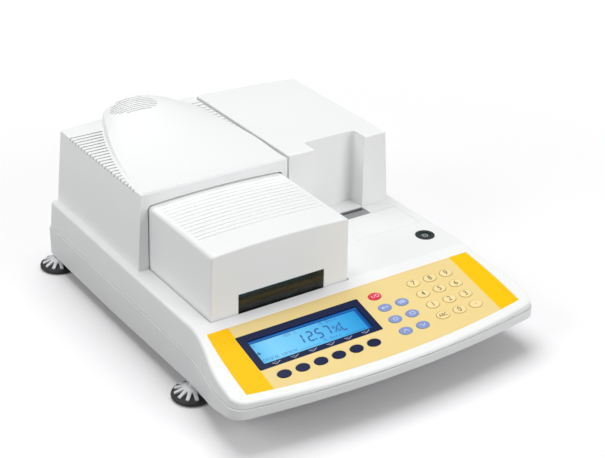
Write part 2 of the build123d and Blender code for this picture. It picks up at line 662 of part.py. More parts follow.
with BuildPart() as display_module:
    add(plane_box((display_x[0] + 0.1, display_x[1] - 0.1), (display_v[0] + 0.1, display_v[1] - 0.1),
                  (-overlay_thickness, 0.0)))
    add(plane_box((display_x[0] + 2, display_x[1] - 2), (display_v[0] + 2, display_v[1] - 2), (-8, -overlay_thickness)))
    add(plane_box(lcd_x, lcd_v, (-1.6, 1)), mode=Mode.SUBTRACT)
    # keypad board behind the console skin, with a dome switch under each key
    add(plane_box((-130, 126), (9, 83), (-8, -6.4)))
    with BuildSketch(console.offset(-6.4)):
        with Locations(*[(x, -v) for x, v in all_keys]):
            Rectangle(5, 5)
    extrude(amount=3.0)
display_module.part.label = "display_module"
export_step(display_module.part, "parts/display_module.step")


def key_sites(keys):
    return [(x, -v) for x, v in keys]


with BuildPart() as keypad_overlay:
    extrude(overlay_face(0, -overlay_thickness), amount=overlay_thickness)
    with BuildSketch(console.offset(-overlay_thickness)):
        with Locations(((display_x[0] + display_x[1]) / 2, -sum(display_v) / 2)):
            RectangleRounded(display_x[1] - display_x[0], display_v[1] - display_v[0], 1.5)
    extrude(amount=3, mode=Mode.SUBTRACT)
    with BuildSketch(console.offset(-overlay_thickness)):
        with Locations(*key_sites(all_keys)):
            Ellipse(key_rx + key_gap, key_ry + key_gap)
    extrude(amount=3, mode=Mode.SUBTRACT)
keypad_overlay.part.label = "keypad_overlay"
export_step(keypad_overlay.part, "parts/keypad_overlay.step")


def make_key(name, site):
    """One oval key: a crowned cap over a wider flange that stays under the overlay."""
    with BuildPart() as key:
        with BuildSketch(console.offset(-overlay_thickness - 0.4)):
            with Locations((site[0], -site[1])):
                Ellipse(key_rx, key_ry)
        extrude(amount=overlay_thickness + 0.4 + key_rise)
        chamfer(key.edges().sort_by(lambda e: -e.center().dot(console.z_dir))[0], 0.35)
        with BuildSketch(console.offset(-overlay_thickness - 1.6)):
            with Locations((site[0], -site[1])):
                Ellipse(key_rx + 1.0, key_ry + 1.0)
        extrude(amount=1.2)
    key.part.label = name
    export_step(key.part, "parts/" + name + ".step")
    return key.part


make_key("key_power", power_key)
for number, site in enumerate(soft_keys, 1):
    make_key(f"key_soft_{number}", site)
for number, site in enumerate(function_keys, 1):
    make_key(f"key_function_{number}", site)
for name, site in zip(number_names, number_keys):
    make_key(f"key_{name}", site)

# Printer bay: hinged cover, slotted plate and the paper roll

# The cover's front edge is a barrel on the hinge's own axis, so it turns clear of the case
cover_thickness = 2.0
cover_hinge_y = printer_y[0] + cover_thickness / 2
with BuildPart() as printer_cover:
    with Locations((sum(printer_x) / 2, (cover_hinge_y + printer_y[1]) / 2, top_z - cover_thickness)):
        Box(printer_x[1] - printer_x[0], printer_y[1] - cover_hinge_y, cover_thickness,
            align=(Align.CENTER, Align.CENTER, Align.MIN))
    fillet(printer_cover.edges().filter_by(Axis.Z).group_by(Axis.Y)[-1], 2.0)
    with Locations(Location((sum(printer_x) / 2, cover_hinge_y, top_z - cover_thickness / 2), (0, 90, 0))):
        Cylinder(cover_thickness / 2, printer_x[1] - printer_x[0])
    with Locations(*[(x, sum(printer_y) / 2, top_z - 3.5) for x in (70, 128)]):
        Box(1.5, printer_y[1] - printer_y[0] - 14, 1.5, align=(Align.CENTER, Align.CENTER, Align.MIN))
printer_cover.part.label = "printer_cover"
export_step(printer_cover.part, "parts/printer_cover.step")

with BuildPart() as slot_plate:
    with Locations(((slot_plate_x[0] + slot_plate_x[1]) / 2, sum(slot_plate_y) / 2, top_z - wall)):
        Box(slot_plate_x[1] - slot_plate_x[0], slot_plate_y[1] - slot_plate_y[0], wall - 0.4,
            align=(Align.CENTER, Align.CENTER, Align.MIN))
    with Locations(((slot_plate_x[0] + slot_plate_x[1]) / 2, slot_plate_y[1] - 3.6, top_z)):
        Box(slot_plate_x[1] - slot_plate_x[0] - 5, 5.0, 20, mode=Mode.SUBTRACT)
slot_plate.part.label = "slot_plate"
export_step(slot_plate.part, "parts/slot_plate.step")

with BuildPart() as paper_roll:
    with Locations(Location(roll_center, (0, 90, 0))):
        Cylinder(roll_radius, roll_width)
        Cylinder(spindle_radius, roll_width + 11)
paper_roll.part.label = "paper_roll"
export_step(paper_roll.part, "parts/paper_roll.step")

# Level, inlet, fan, board and screws

with BuildPart() as level_vial:
    with Locations((level_center[0], level_center[1], top_z - 7)):
        Cylinder(level_radius - 0.05, 7.5, align=(Align.CENTER, Align.CENTER, Align.MIN))
    with Locations((level_center[0], level_center[1], top_z - 0.6)):
        Cylinder(6.5, 3, align=(Align.CENTER, Align.CENTER, Align.MIN), mode=Mode.SUBTRACT)
level_vial.part.label = "level_vial"
export_step(level_vial.part, "parts/level_vial.step")

with BuildPart() as power_inlet:
    with Locations((inlet_x, inlet_y + 1.0, inlet_z)):
        Box(48, 2, 28)
    with Locations((inlet_x, inlet_y - 11, inlet_z)):
        Box(29, 22, 22)
    with Locations((inlet_x, inlet_y - 6, inlet_z)):
        Box(24, 18, 16, mode=Mode.SUBTRACT)
    with Locations(*[(inlet_x + dx, inlet_y - 8, inlet_z + dz) for dx, dz in ((-7, -1), (0, 3), (7, -1))]):
        Box(2, 16, 4)
power_inlet.part.label = "power_inlet"
export_step(power_inlet.part, "parts/power_inlet.step")

with BuildPart() as fan_frame:
    with BuildSketch(Plane.XY.offset(fan_z)) as frame_face:
        with Locations(fan_center):
            RectangleRounded(50, 50, 4)
            Circle(fan_radius + 1.5, mode=Mode.SUBTRACT)
    extrude(amount=6)
    with BuildSketch(Plane.XY.offset(fan_z)):
        with Locations(fan_center):
            Circle(8)
            with PolarLocations(14.5, 3):
                Rectangle(18, 2.5)
    extrude(amount=1.2)
    with Locations((fan_center[0], fan_center[1], fan_z)):
        Cylinder(1.5, 5.5, align=(Align.CENTER, Align.CENTER, Align.MIN))
fan_frame.part.label = "fan_frame"
export_step(fan_frame.part, "parts/fan_frame.step")

with BuildPart() as fan_rotor:
    with Locations((fan_center[0], fan_center[1], fan_z + 1.6)):
        Cylinder(8, 4.2, align=(Align.CENTER, Align.CENTER, Align.MIN))
        with PolarLocations(14, 7):
            Box(13, 1.2, 6.5, rotation=(38, 0, 0), align=(Align.CENTER, Align.CENTER, Align.CENTER), mode=Mode.ADD)
    with Locations((fan_center[0], fan_center[1], fan_z + 6)):
        Cylinder(40, 8, align=(Align.CENTER, Align.CENTER, Align.MIN), mode=Mode.SUBTRACT)
    with Locations((fan_center[0], fan_center[1], fan_z + 1.6)):
        Cylinder(40, 8, align=(Align.CENTER, Align.CENTER, Align.MAX), mode=Mode.SUBTRACT)
    with Locations((fan_center[0], fan_center[1], fan_z)):
        Cylinder(1.55, 7.0, align=(Align.CENTER, Align.CENTER, Align.MIN), mode=Mode.SUBTRACT)
fan_rotor.part.label = "fan_rotor"
export_step(fan_rotor.part, "parts/fan_rotor.step")

with BuildPart() as main_board:
    with Locations((60, 120, 90)):
        Box(1.6, 120, 60, align=(Align.CENTER, Align.CENTER, Align.MIN))
    with Locations((67, 150, 100)):
        Box(12.4, 36, 34, align=(Align.CENTER, Align.CENTER, Align.MIN))
    with Locations((64, 90, 104)):
        Box(6.4, 24, 24, align=(Align.CENTER, Align.CENTER, Align.MIN))
    with Locations(*[(66, 118, z) for z in (100, 122)]):
        Cylinder(5.5, 16, align=(Align.CENTER, Align.CENTER, Align.MIN))
    # feet that carry the board on the base cover
    with Locations(*[(60, y, top_z) for y in (66, 174)]):
        Box(8, 8, 11, align=(Align.CENTER, Align.CENTER, Align.MIN))
main_board.part.label = "main_board"
export_step(main_board.part, "parts/main_board.step")

with BuildPart() as case_screws:
    for sx, sy in screw_sites:
        with Locations((sx, sy, underside_z(sy) + screw_seat - 1.8)):
            Cylinder(3.5, 1.8, align=(Align.CENTER, Align.CENTER, Align.MIN))
case_screws.part.label = "case_screws"
export_step(case_screws.part, "parts/case_screws.step")

# Levelling feet: a rubber dish under a fingered knob on a screw


def make_foot(name, x, y):
    """Rubber dish and fingered knob of one foot."""
    with BuildPart() as pad:
        with BuildSketch(Plane.XZ.offset(-y)) as profile:
            with BuildLine():
                Polyline((x, 0), (x + foot_radius - 3, 0))
                ThreePointArc((x + foot_radius - 3, 0), (x + foot_radius, 2.6), (x + foot_radius - 0.8, 4.4))
                Polyline((x + foot_radius - 0.8, 4.4), (x + 9, foot_dish_height), (x, foot_dish_height), (x, 0))
            make_face()
        revolve(axis=Axis((x, y, 0), (0, 0, 1)))
    pad.part.label = "foot_pad_" + name
    export_step(pad.part, "parts/foot_pad_" + name + ".step")
    with BuildPart() as knob:
        with BuildSketch(Plane.XZ.offset(-y)) as profile:
            with BuildLine():
                Polyline((x, foot_dish_height), (x + 9, foot_dish_height), (x + finger_reach, 5.6),
                         (x + finger_reach, 7.0), (x + 8.5, 10.8), (x + 6, foot_hub_z), (x, foot_hub_z),
                         (x, foot_dish_height))
            make_face()
        revolve(axis=Axis((x, y, 0), (0, 0, 1)))
        # gaps between the fingers, open at the rim and round at the hub
        with BuildSketch(Plane.XY):
            with Locations((x, y)):
                with PolarLocations(0, finger_count):
                    Polygon((10.4, -1.0), (22, -4.1), (22, 4.1), (10.4, 1.0), align=None)
                with PolarLocations(10.4, finger_count):
                    Circle(1.0)
        extrude(amount=20, mode=Mode.SUBTRACT)
        with Locations((x, y, foot_hub_z - 1)):
            Cylinder(stem_radius, 27, align=(Align.CENTER, Align.CENTER, Align.MIN))
    knob.part.label = "foot_knob_" + name
    export_step(knob.part, "parts/foot_knob_" + name + ".step")
    return pad.part, knob.part


make_foot("front_left", -foot_x, foot_front_y)
make_foot("front_right", foot_x, foot_front_y)
make_foot("rear_left", -foot_x, foot_rear_y)
make_foot("rear_right", foot_x, foot_rear_y)
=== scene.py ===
# %% [markdown]
# # Dressing a benchtop moisture analyzer
# The instrument weighs a sample while a sliding heating hood dries it. Its solids come from a CAD
# model and stay as they are. This lesson gives them their finishes, adds the display, the key
# legends and other thin details, and lights the whole as on a photographer's white table.

import json
import math

import bmesh
import bpy
from mathutils import Matrix, Vector
from mathutils.bvhtree import BVHTree


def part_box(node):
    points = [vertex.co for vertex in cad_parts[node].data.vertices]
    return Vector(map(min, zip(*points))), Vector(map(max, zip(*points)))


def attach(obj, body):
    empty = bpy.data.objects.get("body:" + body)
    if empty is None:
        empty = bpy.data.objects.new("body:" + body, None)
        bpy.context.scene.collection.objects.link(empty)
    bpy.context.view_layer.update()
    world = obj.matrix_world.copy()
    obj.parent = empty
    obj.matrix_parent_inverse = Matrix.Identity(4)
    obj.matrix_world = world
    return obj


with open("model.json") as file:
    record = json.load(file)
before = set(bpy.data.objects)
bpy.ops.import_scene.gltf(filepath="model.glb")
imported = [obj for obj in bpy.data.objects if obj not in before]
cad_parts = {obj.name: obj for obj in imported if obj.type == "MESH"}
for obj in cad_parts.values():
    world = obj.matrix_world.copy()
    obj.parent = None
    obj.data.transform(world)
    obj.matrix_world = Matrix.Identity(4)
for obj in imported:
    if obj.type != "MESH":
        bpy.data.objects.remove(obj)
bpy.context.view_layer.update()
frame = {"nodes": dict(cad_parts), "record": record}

MM = 0.001

# %% [markdown]
# ## Camera
# A view camera stands to the left, in front and above. Its eye and its two picture directions were
# found by fitting the case's straight edges, so it is set by a rotation matrix and not aimed at a
# point. The long lens keeps the tower walls nearly parallel.

# %% Camera
eye = Vector((-712.1, -1094.2, 770.9)) * MM
right_of_picture = Vector((0.83304, -0.55281, 0.02094)).normalized()
toward_object = Vector((0.49865, 0.73395, -0.46116)).normalized()
up_of_picture = right_of_picture.cross(toward_object)

camera_data = bpy.data.cameras.new("studio_camera")
camera_data.lens = 82.98
camera_data.sensor_width = 36.0
camera_data.clip_end = 20.0
camera = bpy.data.objects.new("studio_camera", camera_data)
turn = Matrix((right_of_picture, up_of_picture, -toward_object)).transposed()
camera.matrix_world = Matrix.Translation(eye) @ turn.to_4x4()
bpy.context.collection.objects.link(camera)
bpy.context.scene.camera = camera
bpy.context.scene.view_settings.view_transform = "Standard"
print("camera at", [round(c, 3) for c in eye])

# %% [markdown]
# ## Writing shaders as sums
# A finish is a small formula over the surface: noise, masks and mixes. `Wire` wraps one output
# socket so that `1 - mask` or `mask * 0.2` adds the Math node it means. `Finish` holds a material
# and adds every other node through one method, with its settings first and its sockets second.

# %% Wire and Finish
class Wire:
    """One output socket that can be used in arithmetic."""

    def __init__(self, finish, socket):
        self.finish, self.socket = finish, socket

    def _math(self, operation, a, b=0.5):
        return self.finish.node("Math", {0: a, 1: b}, operation=operation)

    def __add__(self, other):
        return self._math("ADD", self, other)

    def __sub__(self, other):
        return self._math("SUBTRACT", self, other)

    def __rsub__(self, other):
        return self._math("SUBTRACT", other, self)

    def __mul__(self, other):
        return self._math("MULTIPLY", self, other)

    def __truediv__(self, other):
        return self._math("DIVIDE", self, other)

    def __gt__(self, other):
        return self._math("GREATER_THAN", self, other)

    def __lt__(self, other):
        return self._math("LESS_THAN", self, other)

    def __abs__(self):
        return self._math("ABSOLUTE", self)

    __radd__, __rmul__ = __add__, __mul__


class Finish:
    """A material being written node by node, or another node tree that is given."""

    def __init__(self, name, tree=None):
        if tree is None:
            self.material = bpy.data.materials.new(name)
            self.material.use_nodes = True
            tree = self.material.node_tree
        self.tree = tree
        self.tree.nodes.clear()

    def node(self, kind, sockets=None, output=0, stops=None, **settings):
        """Adds one node: its settings, then its colour stops, then its sockets."""
        made = self.tree.nodes.new("ShaderNode" + kind)
        for setting, value in settings.items():
            setattr(made, setting, value)
        if stops:
            ramp = made.color_ramp
            while len(ramp.elements) < len(stops):
                ramp.elements.new(0.5)
            for element, (position, shade) in zip(ramp.elements, stops):
                element.position, element.color = position, shade
        for key, value in (sockets or {}).items():
            if isinstance(value, Wire):
                self.tree.links.new(value.socket, made.inputs[key])
            else:
                made.inputs[key].default_value = value
        return Wire(self, made.outputs[output]) if made.outputs else None

    def place(self):
        """The point on the surface in metres, in the CAD frame."""
        return self.node("TexCoord", output="Object")

    def noise(self, scale, detail=2.0, roughness=0.5):
        """Cloudy noise over the surface, finer where the scale is larger."""
        return self.node("TexNoise", {
            "Vector": self.place(),
            "Scale": scale,
            "Detail": detail,
            "Roughness": roughness,
        })

    def axis(self, letter):
        """One coordinate of the point on the surface, in metres."""
        return self.node("SeparateXYZ", {0: self.place()}, output=letter)

    def either(self, a, b):
        """The larger of two values, so 1 where either mask is 1."""
        return self.node("Math", {0: a, 1: b}, operation="MAXIMUM")

    def mix(self, factor, a, b):
        """Colour a where factor is 0 and colour b where it is 1."""
        return self.node("Mix", {0: factor, 6: a, 7: b}, output=2, data_type="RGBA")

    def bump(self, height, strength, distance=0.0002):
        """A normal tilted by a height, which stands for relief up to distance in metres."""
        return self.node("Bump", {"Height": height, "Strength": strength, "Distance": distance})

    def surface(self, sockets, shader=None):
        """Ends the formula in a Principled surface, or in the shader that is given."""
        shader = shader or self.node("BsdfPrincipled", sockets)
        self.node("OutputMaterial", {"Surface": shader})
        return self.material


def colour(code):
    """A linear colour from the usual six-digit code."""
    parts = [int(code[i:i + 2], 16) / 255 for i in (0, 2, 4)]
    linear = [p / 12.92 if p <= 0.04045 else ((p + 0.055) / 1.055) ** 2.4 for p in parts]
    return (*linear, 1.0)


print("shader helpers ready")

# %% [markdown]
# ## Moulded and painted finishes
# The case is injection moulded in white with a fine spark-eroded grain, so it gets a small bump and
# a roughness that drifts a little. Coloured plastics share the formula with other numbers.

# %% Moulded plastic
def moulded(name, shade, roughness=0.42, grain=1400.0, relief=0.12, drift=0.03, specular=0.5):
    """Moulded plastic with a spark-eroded grain and a slow drift of tone."""
    f = Finish(name)
    cloud = f.noise(9.0, 3.0)
    fine = f.noise(grain, 2.0)
    darker = (shade[0] * (1 - drift), shade[1] * (1 - drift), shade[2] * (1 - drift * 0.8), 1.0)
    return f.surface({
        "Base Color": f.mix(cloud, darker, shade),
        "Roughness": roughness + (cloud - 0.5) * 0.10 + (fine - 0.5) * 0.05,
        "Normal": f.bump(fine, relief),
        "Specular IOR Level": specular,
    })


def seamed_plastic():
    """The case's white, with painted shade in the groove above the lower shell."""
    f = Finish("white_case_plastic")
    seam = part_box("upper_shell")[0][2]
    height = f.axis("Z")
    groove_foot = seam + 0.05 * MM
    groove_top = seam + 0.88 * MM
    # Painted shade: the groove's faces get a dark grey for the shade that falls in the seam.
    groove_painted_shade = (height > groove_foot) * (height < groove_top)
    cloud, fine = f.noise(9.0, 3.0), f.noise(1400.0, 2.0)
    white = f.mix(cloud, colour("EDEEEE"), colour("EFF0F0"))
    return f.surface({
        "Base Color": f.mix(groove_painted_shade, white, colour("55585B")),
        "Roughness": 0.42 + (cloud - 0.5) * 0.10 + (fine - 0.5) * 0.05,
        "Normal": f.bump(fine, 0.10),
        "Specular IOR Level": 0.35,
    })


white_plastic = moulded("white_moulded_plastic", colour("EFF0F0"), relief=0.10, drift=0.02, specular=0.35)
pale_plastic = moulded("pale_knob_plastic", colour("E2E4E6"), 0.45, specular=0.35)
case_plastic = seamed_plastic()
black_plastic = moulded("black_plastic", colour("17181A"), 0.5)
gear_plastic = moulded("gear_nylon", colour("DDD9CC"), 0.5)
print("plastics ready")

# %% [markdown]
# ## Metals
# The heater's reflector is polished, the tray is stamped aluminium with a soft satin, and the pan
# has fine turning rings round its own centre. Rolled metal could be an anisotropic shader, but noise
# drawn out along one axis gives the same look and also works in the bump.

# %% Metals
def rolled_metal(name, shade, roughness, direction=(1.0, 24.0, 1.0), relief=0.15):
    """Rolled or brushed metal: noise drawn out along one axis."""
    f = Finish(name)
    stretched = f.node("Mapping", {"Vector": f.place(), "Scale": direction})
    streak = f.node("TexNoise", {"Vector": stretched, "Scale": 60.0, "Detail": 4.0})
    dull = tuple(c * 0.82 for c in shade[:3]) + (1.0,)
    return f.surface({
        "Base Color": f.mix(streak, dull, shade),
        "Metallic": 1.0,
        "Roughness": roughness + (streak - 0.5) * 0.2,
        "Normal": f.bump(streak, relief, 0.00005),
    })


def turned_metal(name, shade, roughness, centre):
    """Metal turned on a lathe: fine rings round a vertical axis through centre."""
    f = Finish(name)
    moved = f.node("Mapping", {"Vector": f.place(), "Location": (-centre[0], -centre[1], 0.0)})
    rings = f.node("TexWave", {"Vector": moved, "Scale": 900.0, "Distortion": 0.4, "Detail": 1.0},
                   output="Fac", wave_type="RINGS", rings_direction="Z")
    dull = tuple(c * 0.86 for c in shade[:3]) + (1.0,)
    return f.surface({
        "Base Color": f.mix(rings, dull, shade),
        "Metallic": 1.0,
        "Roughness": roughness + rings * 0.08,
        "Normal": f.bump(rings, 0.08, 0.00005),
    })


pan_centre = (-65.1 * MM, -44.0 * MM)
tray_metal = rolled_metal("satin_tray_aluminium", (0.62, 0.62, 0.63, 1), 0.42)
cell_metal = rolled_metal("milled_cell_aluminium", (0.52, 0.52, 0.54, 1), 0.38, (24.0, 1.0, 1.0))
steel = rolled_metal("brushed_steel", (0.50, 0.50, 0.51, 1), 0.34, (1.0, 1.0, 30.0))
pan_metal = turned_metal("turned_pan_aluminium", (0.80, 0.80, 0.81, 1), 0.24, pan_centre)
reflector_metal = turned_metal("polished_reflector", (0.82, 0.82, 0.80, 1), 0.10, pan_centre)
plate_paint = moulded("grey_painted_plate", colour("929496"), 0.45, grain=2200.0, relief=0.2)
print("metals ready")

# %% [markdown]
# ## Rubber, ceramic, paper and board
# These are matt and slightly mottled, so one function makes all four from noise between a light and
# a dark tone. The rubber of the feet also gets a little sheen, as dusty rubber has.

# %% Rubber, ceramic, paper and board
def rough_stuff(name, light, dark, scale, roughness, relief, sheen=0.0):
    """A matt, slightly mottled material."""
    f = Finish(name)
    mottle = f.noise(scale, 5.0, 0.6)
    return f.surface({
        "Base Color": f.mix(mottle, dark, light),
        "Roughness": roughness + (mottle - 0.5) * 0.15,
        "Normal": f.bump(mottle, relief),
        "Sheen Weight": sheen,
    })


rubber = rough_stuff("foot_rubber", colour("2A2B2D"), colour("101112"), 600.0, 0.62, 0.3, 0.15)
ceramic = rough_stuff("element_ceramic", colour("A89B8A"), colour("7C6F62"), 300.0, 0.7, 0.4)
roll_paper = rough_stuff("thermal_paper", colour("F4F3EE"), colour("E6E4DB"), 900.0, 0.75, 0.15)
board = rough_stuff("circuit_board", colour("1E6B3A"), colour("0E4423"), 220.0, 0.4, 0.1)
print("matt materials ready")

# %% [markdown]
# ## Smoked window
# The hood's front window is smoked glass. From outside it reads green-black, so it is a glossy dark
# surface that lets about a quarter of the light by. A true glass shader would darken with depth, but
# the pane is too thin for that to show.

# %% Smoked glass
def smoked_glass():
    """Smoked glass, green-black below, with painted light in its bands: a brown band across the middle and a
    lighter grey-green top.
    """
    f = Finish("smoked_window_glass")
    haze = f.noise(40.0, 2.0)
    low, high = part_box("hood_window")
    height = f.axis("Z")
    # Painted light: the brown middle band and the lighter grey-green top are painted into the glass's colour
    # by height.
    tint_with_painted_bands = f.node("ValToRGB", {0: (height - low.z) / (high.z - low.z) + (haze - 0.5) * 0.25}, stops=[
        (0.0, colour("121A1A")), (0.34, colour("16170F")), (0.62, colour("37321F")), (1.0, colour("26322F"))])
    return f.surface({
        "Base Color": tint_with_painted_bands,
        "Roughness": 0.05 + haze * 0.05,
        "Alpha": 0.74 - haze * 0.06,
        "Specular IOR Level": 0.4,
    })


window_glass = smoked_glass()

# %% [markdown]
# ## Keypad film
# The overlay is a printed polyester film: beige between two yellow bands. The print is not cut
# geometry, so the bands are a mask from the position across the case. The line between beige and
# yellow moves outwards a little towards the front, as the moulding does.

# %% Keypad film
def keypad_film():
    """Beige film between two yellow bands, whose inner edges spread towards the front."""
    f = Finish("keypad_film")
    across = f.axis("X")
    depth = f.axis("Y")
    edge_at_top = 134.3 * MM
    top_of_film = -121.3 * MM
    spread = 0.0139
    band = abs(across) > edge_at_top + (top_of_film - depth) * spread
    emboss = f.noise(1800.0, 2.0)
    cloud = f.noise(12.0, 2.0)
    beige = f.mix(cloud, colour("E8CF8C"), colour("ECD595"))
    yellow = f.mix(cloud, colour("FBBF00"), colour("FFC502"))
    return f.surface({
        "Base Color": f.mix(band, beige, yellow),
        "Roughness": 0.46 + (emboss - 0.5) * 0.12,
        "Normal": f.bump(emboss, 0.10),
        "Specular IOR Level": 0.12,
    })


film = keypad_film()
key_beige = moulded("beige_key", colour("F2DC9E"), 0.40, grain=1800.0, relief=0.06, specular=0.15)
key_red = moulded("red_key", colour("DF3A52"), 0.36, grain=1800.0, relief=0.06, specular=0.15)
key_blue = moulded("blue_key", colour("8799CB"), 0.36, grain=1800.0, relief=0.06, specular=0.15)
key_navy = moulded("navy_key", colour("151F46"), 0.30, grain=1800.0, relief=0.05, specular=0.18)
frame_navy = moulded("navy_display_frame", colour("142146"), 0.34, grain=1500.0, relief=0.03, specular=0.12)
vial_black = moulded("level_ring_plastic", colour("26302F"), 0.30, relief=0.05)
print("film and keys ready")

# %% [markdown]
# ## Give every CAD node its finish
# A CAD node keeps its mesh. Only the material slots of its object are filled.

# %% Assign
finishes = {
    "white_housing": white_plastic, "smoked_window": window_glass, "reflector_metal": reflector_metal,
    "element_ceramic": ceramic, "gear_plastic": gear_plastic, "steel": steel,
    "pan_aluminium": pan_metal, "chamber_aluminium": tray_metal, "cell_metal": cell_metal,
    "display_frame": frame_navy, "overlay_film": film, "key_red": key_red, "key_blue": key_blue,
    "key_navy": key_navy, "key_beige": key_beige, "plate_grey": plate_paint, "vial_ring": vial_black,
    "black_plastic": black_plastic, "board_green": board, "paper": roll_paper,
    "foot_rubber": rubber, "foot_knob_plastic": pale_plastic,
}
slot_of = {part["node"]: part["material_slot"] for part in frame["record"]["subparts"]}
for name, node in frame["nodes"].items():
    material = finishes[slot_of[name]] if name != "upper_shell" else case_plastic
    if node.data.materials:
        for i in range(len(node.data.materials)):
            node.data.materials[i] = material
    else:
        node.data.materials.append(material)
print("finishes given to", len(slot_of), "nodes")

# %% [markdown]
# ## Working on the sloped console
# The display, the keys and their prints all lie on one sloped plane. A helper turns a place on that
# plane, across and down the slope in millimetres, with a lift above it, into a point in space.

# %% Console plane
slope = math.radians(13.5)
film_top_y = -121.3
deck_z = 79.2
slope_before_film = 13.3
console_origin = Vector((0.0, film_top_y, deck_z - slope_before_film * math.tan(slope)))
down_slope = Vector((0.0, -math.cos(slope), -math.sin(slope)))
off_console = Vector((0.0, -math.sin(slope), math.cos(slope)))


def on_console(x, v, lift=0.0):
    """The point x across and v down the slope, lifted off it, in metres."""
    return (console_origin + Vector((x, 0, 0)) + v * down_slope + lift * off_console) * MM


def solid_piece(name, mesh, material, body):
    """Turns a bmesh into an object that rides on a body and belongs to a slot."""
    data = bpy.data.meshes.new(name)
    mesh.to_mesh(data)
    mesh.free()
    piece = bpy.data.objects.new(name, data)
    bpy.context.collection.objects.link(piece)
    data.materials.append(material)
    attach(piece, body)


def flat_piece(name, outlines, lift, thickness, material):
    """Thin plates cut from closed outlines on the console plane, each with a real thickness."""
    mesh = bmesh.new()
    for outline in outlines:
        top = [mesh.verts.new(on_console(x, v, lift + thickness)) for x, v in outline]
        bottom = [mesh.verts.new(on_console(x, v, lift)) for x, v in outline]
        mesh.faces.new(top)
        mesh.faces.new(bottom[::-1])
        for i in range(len(outline)):
            j = (i + 1) % len(outline)
            mesh.faces.new((top[i], bottom[i], bottom[j], top[j]))
    bmesh.ops.recalc_face_normals(mesh, faces=mesh.faces)
    solid_piece(name, mesh, material, "base")


def rounded(x0, x1, v0, v1, radius, steps=5):
    """Outline of a rectangle with rounded corners, each an arc of a few steps."""
    points = []
    for cx, cv, start in ((x1 - radius, v1 - radius, 0), (x0 + radius, v1 - radius, 90),
                          (x0 + radius, v0 + radius, 180), (x1 - radius, v0 + radius, 270)):
        for i in range(steps + 1):
            angle = math.radians(start + 90 * i / steps)
            points.append((cx + radius * math.cos(angle), cv + radius * math.sin(angle)))
    return points


print("console corner at", [round(c, 4) for c in on_console(-134.3, 0)])

# %% [markdown]
# ## Liquid-crystal display
# The display is backlit pale blue, brighter at its left. The frame stands 1.6 mm above it, so its
# top and right edges sit in a dark blue band of shade. The glass emits a little of its own colour.

# %% Display glass
lcd_left, lcd_right, lcd_top, lcd_bottom = -126.8, -1.0, 23.2, 55.5


def display_glass():
    """Backlit blue glass, shaded along its top and right edges by the frame above it."""
    f = Finish("display_glass")
    across = f.axis("X")
    back = f.axis("Y")
    share = (across - lcd_left * MM) / ((lcd_right - lcd_left) * MM)
    down = ((console_origin.y * MM) - back) / (math.cos(slope) * MM)
    glow = f.node("ValToRGB", {0: share}, stops=[
        (0.0, colour("5FB9E6")), (0.16, colour("7CC9EE")), (0.50, colour("62BBE8")),
        (0.80, colour("3DA2DC")), (1.0, colour("1E8CCB"))])
    shade_end = 27.0
    streak_middle = 25.0
    streak_half = 0.9
    side_shade_start = -6.0 * MM
    deep_shade_start = -3.4 * MM
    shade_top = down < shade_end
    streak = abs(down - streak_middle) < streak_half
    shade_right = across > side_shade_start
    deep_right = across > deep_shade_start
    tone = f.mix(shade_right, glow, colour("0A52A4"))
    tone = f.mix(deep_right, tone, colour("083B80"))
    tone = f.mix(shade_top, tone, colour("083F8A"))
    tone = f.mix(shade_top * streak, tone, colour("1565B2"))
    mottle = f.noise(900.0, 2.0)
    return f.surface({
        "Base Color": f.mix(mottle * 0.08, tone, colour("5FB4E8")),
        "Roughness": 0.22 + mottle * 0.04,
        "Normal": f.bump(mottle, 0.02),
        "Emission Color": tone,
        "Emission Strength": 0.08,
        "Specular IOR Level": 0.12,
    })


glass = display_glass()
play = 0.1
pane = rounded(lcd_left + play, lcd_right - play, lcd_top + play, lcd_bottom - play, 0.6)
glass_foot = -1.58
glass_thickness = 0.35
flat_piece("display_glass", [pane], glass_foot, glass_thickness, glass)
print("display glass", round(lcd_right - lcd_left, 1), "mm wide")

# %% [markdown]
# ## Readout
# The reading is built as a display shows it: each figure is a set of segments. A figure is a string
# of segment letters, and each segment is a bar with pointed ends, slanted a little to the right.

# %% Readout segments
SEGMENTS = {
    "0": "abcdef", "1": "bc", "2": "abged", "3": "abgcd", "4": "fgbc", "5": "afgcd", "6": "afgedc",
    "7": "abc", "8": "abcdefg", "9": "abcdfg", "C": "afed", "L": "fed", " ": "",
}


def bar(x0, v0, x1, v1, half):
    """A bar with pointed ends from one point to another."""
    dx, dv = x1 - x0, v1 - v0
    length = math.hypot(dx, dv)
    ux, uv = dx / length, dv / length
    nx, nv = -uv * half, ux * half
    return [
        (x0, v0),
        (x0 + ux * half + nx, v0 + uv * half + nv),
        (x1 - ux * half + nx, v1 - uv * half + nv),
        (x1, v1),
        (x1 - ux * half - nx, v1 - uv * half - nv),
        (x0 + ux * half - nx, v0 + uv * half - nv),
    ]


def figure(letter, x, v, width, height, half, slant):
    """The bars of one figure whose lower left corner is at x, v."""
    corners = {"tl": (0, height), "tr": (width, height), "ml": (0, height / 2), "mr": (width, height / 2),
               "bl": (0, 0), "br": (width, 0)}
    ends = {"a": ("tl", "tr"), "b": ("tr", "mr"), "c": ("mr", "br"), "d": ("bl", "br"),
            "e": ("ml", "bl"), "f": ("tl", "ml"), "g": ("ml", "mr")}
    bars = []
    gap = half * 0.12
    for segment in SEGMENTS[letter]:
        (x0, h0), (x1, h1) = (corners[end] for end in ends[segment])
        length = math.hypot(x1 - x0, h1 - h0)
        sx, sh = (x1 - x0) / length * gap, (h1 - h0) / length * gap
        x0, h0, x1, h1 = x0 + sx, h0 + sh, x1 - sx, h1 - sh
        bars.append(bar(x + x0 + slant * h0, v - h0, x + x1 + slant * h1, v - h1, half))
    return bars


